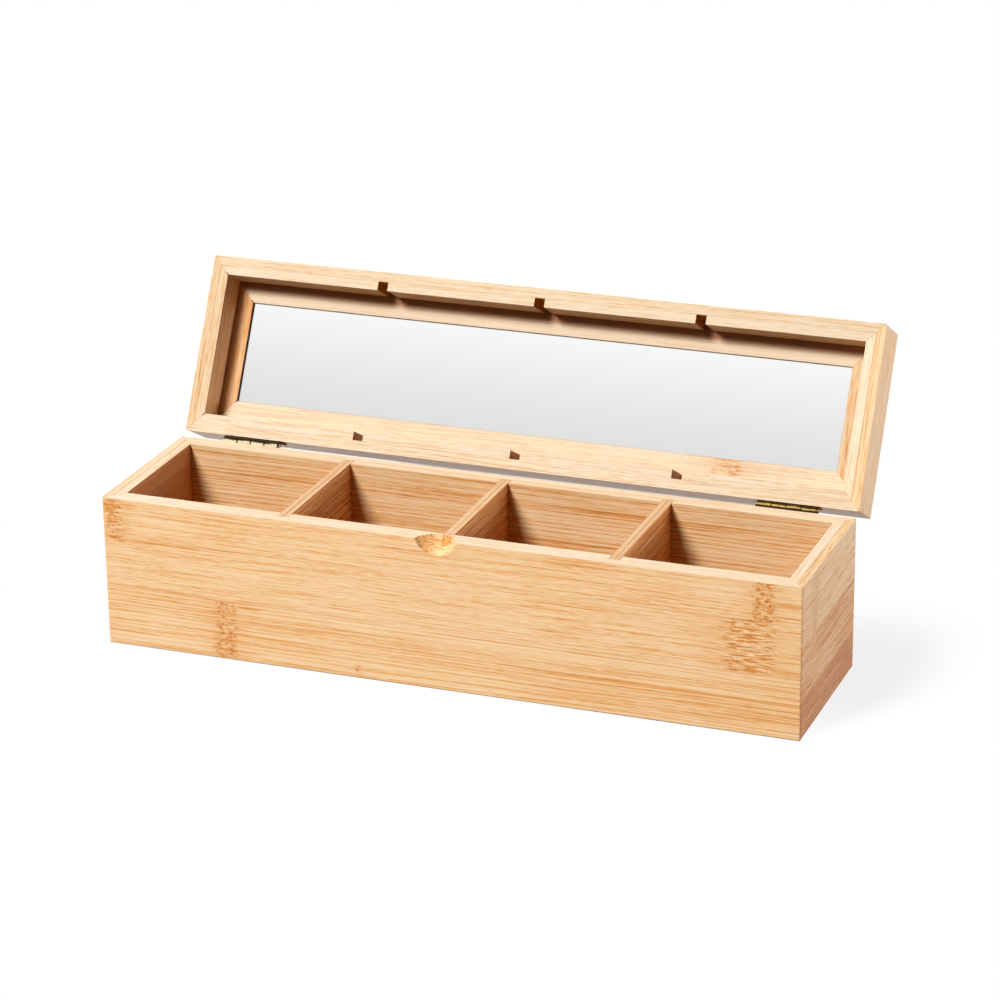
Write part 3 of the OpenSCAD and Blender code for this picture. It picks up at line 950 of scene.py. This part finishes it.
FLOOR_Z_M = -0.0003
MOTTLE = (0.8, 0.8, 0.8)
MOTTLE_TINT = 0.04
MOTTLE_WAVES = 3.0

# The parts of the floor, each by where it starts and where it ends along Y: the floor behind the box, which
# throws less light back, the painted shade seen through the pane, and the true floor seen through it. Then
# the shadow at the box's right end, by its middle and its reach.
BOUNCE_M = (0.2, 0.05)
BOUNCE_BEHIND = 0.3
PANE_SHADE_M = (0.26, 0.54)
PANE_SHADE = 0.24
PANE_FLOOR_M = (0.15, 0.45)
SHADOW_AT_M = (0.17, 0.04)
SHADOW_REACH_M = (0.03, 0.1)

# The floor that the box hides from the camera. Its right side follows the line of sight.
HIDDEN_FRONT_M = (0.0, 0.04)
HIDDEN_BACK_M = (0.45, 0.28)
HIDDEN_LEFT_X_M = (-0.3, -0.2)
HIDDEN_RIGHT_X_M = (0.172, 0.14)
SIGHT_SLOPE = 0.27


def ray(recipe, kind):
    """A socket that is 1 for camera, mirrored, passed or scattered rays.

    Mirrored and passed rays count only before any matt surface, so that they light nothing. Past one, each
    ray counts as scattered.
    """
    met = recipe.node("LightPath", output=f"Is {kind} Ray")
    if kind == "Camera":
        return met
    direct = recipe.node("LightPath", output="Diffuse Depth") < 0.5
    return met.most(1.0 - direct) if kind == "Diffuse" else met * direct


def floor_material(stage):
    """Floor that looks white, with a share of its true shading round the box, and more of it in the pane."""
    recipe = Recipe(bpy.data.materials.new("floor"))
    x, y, z = recipe.axes(recipe.node("TexCoord", output="Object"))
    camera, gloss, passed, scattered = (
        ray(recipe, kind) for kind in ("Camera", "Glossy", "Transmission", "Diffuse")
    )

    # The matt floor. The light that it throws back onto the box is warm, and less so behind it.
    mottle = recipe.noise(recipe.vector(x * MOTTLE_WAVES, y * MOTTLE_WAVES, z))
    tone = recipe.blend(mottle * MOTTLE_TINT, stage.floor, MOTTLE)
    tone = recipe.blend(scattered * recipe.rise(y, *BOUNCE_M, BOUNCE_BEHIND, 1.0), tone, stage.bounce)
    matt = recipe.node("BsdfDiffuse", values={"Color": tone})

    # The white floor, with painted shade where it is seen through the pane, darkest close behind the box.
    white_with_pane_shade = 1.0 - passed * recipe.fall(y, *PANE_SHADE_M, PANE_SHADE)
    white = recipe.node("Emission", values={"Color": (*WHITE, 1.0), "Strength": white_with_pane_shade})

    # The camera sees the matt floor faintly at the box's right end, and fully where the box hides it.
    shadow_x, shadow_y = SHADOW_AT_M
    offset = recipe.vector(x - shadow_x, y - shadow_y, 0.0)
    away = recipe.node("VectorMath", {"operation": "LENGTH"}, {0: offset}, output="Value")
    hidden = recipe.rise(y, *HIDDEN_FRONT_M) * recipe.rise(y, *HIDDEN_BACK_M)
    hidden = hidden * recipe.rise(x, *HIDDEN_LEFT_X_M) * recipe.rise(y * SIGHT_SLOPE + x, *HIDDEN_RIGHT_X_M)
    near = recipe.fall(away, *SHADOW_REACH_M, stage.shadow).most(hidden)
    behind = recipe.fall(y, *PANE_FLOOR_M, stage.behind)
    seen = camera * (1.0 - near) + gloss * (1.0 - stage.mirrored) + passed * (1.0 - behind)
    return recipe.finish(recipe.node("MixShader", values={0: seen, 1: matt, 2: white}))


def add_floor(stage):
    mesh = bpy.data.meshes.new("floor")
    sheet = bmesh.new()
    bmesh.ops.create_grid(sheet, x_segments=1, y_segments=1, size=stage.floor_size / 2)
    bmesh.ops.translate(sheet, verts=sheet.verts, vec=(0.0, 0.0, FLOOR_Z_M))
    sheet.to_mesh(mesh)
    sheet.free()
    mesh.materials.append(floor_material(stage))
    floor = bpy.data.objects.new("floor", mesh)
    bpy.context.scene.collection.objects.link(floor)


def light_room(stage):
    """Even light from all round. The room looks white, but mirrors dark in front of the box."""
    recipe = Recipe(bpy.data.worlds.new("room"))
    camera, gloss, passed = (ray(recipe, kind) for kind in ("Camera", "Glossy", "Transmission"))
    toward = recipe.axes(recipe.node("TexCoord", output="Generated"))[Y]
    backdrop = recipe.rise(toward, *ROOM_TURN, stage.room, 1.0)
    strength = camera.most(gloss * backdrop).most(passed) * (1.0 - stage.fill) + stage.fill
    light = recipe.node("Background", values={"Color": (*WHITE, 1.0), "Strength": strength})
    bpy.context.scene.world = recipe.finish(light)


def add_lamp(name, lamp, watts):
    """A round soft lamp that is seen neither straight on nor mirrored nor through the pane."""
    data = bpy.data.lights.new(name, "AREA")
    data.shape = "DISK"
    data.size = lamp.size
    data.energy = watts
    data.color = lamp.tint
    made = bpy.data.objects.new(name, data)
    facing = (Vector(AIM_M) - Vector(lamp.place)).to_track_quat("-Z", "Y")
    made.matrix_world = Matrix.Translation(lamp.place) @ facing.to_matrix().to_4x4()
    bpy.context.scene.collection.objects.link(made)
    made.visible_camera = False
    made.visible_glossy = False
    made.visible_transmission = False


def add_camera():
    azimuth, elevation, roll = (
        math.radians(angle) for angle in (CAMERA_AZIMUTH, CAMERA_ELEVATION, CAMERA_ROLL)
    )
    forward = Vector((
        -math.sin(azimuth) * math.cos(elevation),
        math.cos(azimuth) * math.cos(elevation),
        -math.sin(elevation),
    ))
    level = Vector((math.cos(azimuth), math.sin(azimuth), 0.0))
    upright = level.cross(forward)
    right = math.cos(roll) * level + math.sin(roll) * upright
    up = math.cos(roll) * upright - math.sin(roll) * level
    data = bpy.data.cameras.new("camera")
    data.sensor_fit = "HORIZONTAL"
    data.sensor_width = CAMERA_SENSOR
    data.lens = CAMERA_LENS
    data.clip_start, data.clip_end = CAMERA_CLIP_M
    camera = bpy.data.objects.new("camera", data)
    bpy.context.scene.collection.objects.link(camera)
    turn = Matrix((right, up, -forward)).transposed().to_4x4()
    camera.matrix_world = Matrix.Translation(CAMERA_AT_M) @ turn
    bpy.context.scene.camera = camera


# ---- Operators ----


def coat_boards(context, *names):
    for name in names:
        if name not in BOARDS:
            raise RuntimeError(f"the board table lacks {name}")
        coat_node(name, Bamboo(BOARDS[name], context.scene.bamboo_box_wood).material())
    return {"FINISHED"}


class BAMBOO_BOX_OT_body_walls(bpy.types.Operator):
    """Finish the four mitred walls of the body in bamboo"""

    bl_idname = "bamboo_box.body_walls"
    bl_label = "Body Walls"

    def execute(self, context):
        return coat_boards(context, "front_wall", "back_wall", "left_wall", "right_wall")


class BAMBOO_BOX_OT_dividers(bpy.types.Operator):
    """Finish the three dividers in bamboo"""

    bl_idname = "bamboo_box.dividers"
    bl_label = "Dividers"

    def execute(self, context):
        return coat_boards(context, *DIVIDERS)


class BAMBOO_BOX_OT_bottom(bpy.types.Operator):
    """Finish the bottom panel in bamboo"""

    bl_idname = "bamboo_box.bottom"
    bl_label = "Bottom Panel"

    def execute(self, context):
        return coat_boards(context, "bottom_panel")


class BAMBOO_BOX_OT_lid_rails(bpy.types.Operator):
    """Finish the four rails of the lid in bamboo"""

    bl_idname = "bamboo_box.lid_rails"
    bl_label = "Lid Rails"

    def execute(self, context):
        return coat_boards(context, "lid_front_rail", "lid_back_rail", "lid_left_rail", "lid_right_rail")


class BAMBOO_BOX_OT_window_frame(bpy.types.Operator):
    """Finish the four strips of the window frame in bamboo"""

    bl_idname = "bamboo_box.window_frame"
    bl_label = "Window Frame"

    def execute(self, context):
        return coat_boards(context, "window_frame_front", "window_frame_back",
                           "window_frame_left", "window_frame_right")


class BAMBOO_BOX_OT_pane(bpy.types.Operator):
    """Finish the window pane in clear glass"""

    bl_idname = "bamboo_box.pane"
    bl_label = "Window Pane"

    def execute(self, context):
        coat_node("window_pane", pane_glass(context.scene.bamboo_box_fittings))
        return {"FINISHED"}


class BAMBOO_BOX_OT_hinges(bpy.types.Operator):
    """Finish the leaves and pins of both hinges in brushed brass"""

    bl_idname = "bamboo_box.hinges"
    bl_label = "Hinges"

    def execute(self, context):
        plate = brass("brass_plate", context.scene.bamboo_box_fittings, PLATE_SCRATCH)
        for side in ("left", "right"):
            for part in ("body_leaf", "lid_leaf", "pin"):
                coat_node(f"hinge_{side}_{part}", plate)
        return {"FINISHED"}


class BAMBOO_BOX_OT_screws(bpy.types.Operator):
    """Finish the hinge screws in brass"""

    bl_idname = "bamboo_box.screws"
    bl_label = "Screws"

    def execute(self, context):
        for name in ("body_hinge_screws", "lid_hinge_screws"):
            coat_node(name, brass("brass_" + name, context.scene.bamboo_box_fittings, SCREW_SCRATCH))
        return {"FINISHED"}


class BAMBOO_BOX_OT_stage(bpy.types.Operator):
    """Set the floor, the lamps, the room light and the camera"""

    bl_idname = "bamboo_box.stage"
    bl_label = "Stage"

    def execute(self, context):
        stage = context.scene.bamboo_box_stage
        add_floor(stage)
        for name, lamp in LAMPS.items():
            add_lamp(name + "_lamp", lamp, getattr(stage, name + "_power"))
        light_room(stage)
        add_camera()
        context.scene.view_settings.view_transform = "Standard"
        return {"FINISHED"}


class BAMBOO_BOX_PT_panel(bpy.types.Panel):
    """Sidebar panel with the pieces and settings of the box"""

    bl_idname = "BAMBOO_BOX_PT_panel"
    bl_label = "Bamboo Box"
    bl_space_type = "VIEW_3D"
    bl_region_type = "UI"
    bl_category = "Bamboo Box"

    def draw(self, context):
        for operator in OPERATORS:
            self.layout.operator(operator.bl_idname)
        for name, group in SETTINGS.items():
            box = self.layout.box()
            for field in group.__annotations__:
                box.prop(getattr(context.scene, name), field)


SETTINGS = {
    "bamboo_box_wood": BAMBOO_BOX_PG_wood,
    "bamboo_box_fittings": BAMBOO_BOX_PG_fittings,
    "bamboo_box_stage": BAMBOO_BOX_PG_stage,
}
OPERATORS = (
    BAMBOO_BOX_OT_body_walls,
    BAMBOO_BOX_OT_dividers,
    BAMBOO_BOX_OT_bottom,
    BAMBOO_BOX_OT_lid_rails,
    BAMBOO_BOX_OT_window_frame,
    BAMBOO_BOX_OT_pane,
    BAMBOO_BOX_OT_hinges,
    BAMBOO_BOX_OT_screws,
    BAMBOO_BOX_OT_stage,
)
CLASSES = (*SETTINGS.values(), *OPERATORS, BAMBOO_BOX_PT_panel)


def register():
    for cls in CLASSES:
        bpy.utils.register_class(cls)
    for name, group in SETTINGS.items():
        setattr(bpy.types.Scene, name, PointerProperty(type=group))


def unregister():
    for name in SETTINGS:
        delattr(bpy.types.Scene, name)
    for cls in reversed(CLASSES):
        bpy.utils.unregister_class(cls)


def main():
    """Makes every piece in order."""
    register()
    for operator in OPERATORS:
        group, name = operator.bl_idname.split(".")
        getattr(getattr(bpy.ops, group), name)()


if __name__ == "__main__":
    main()
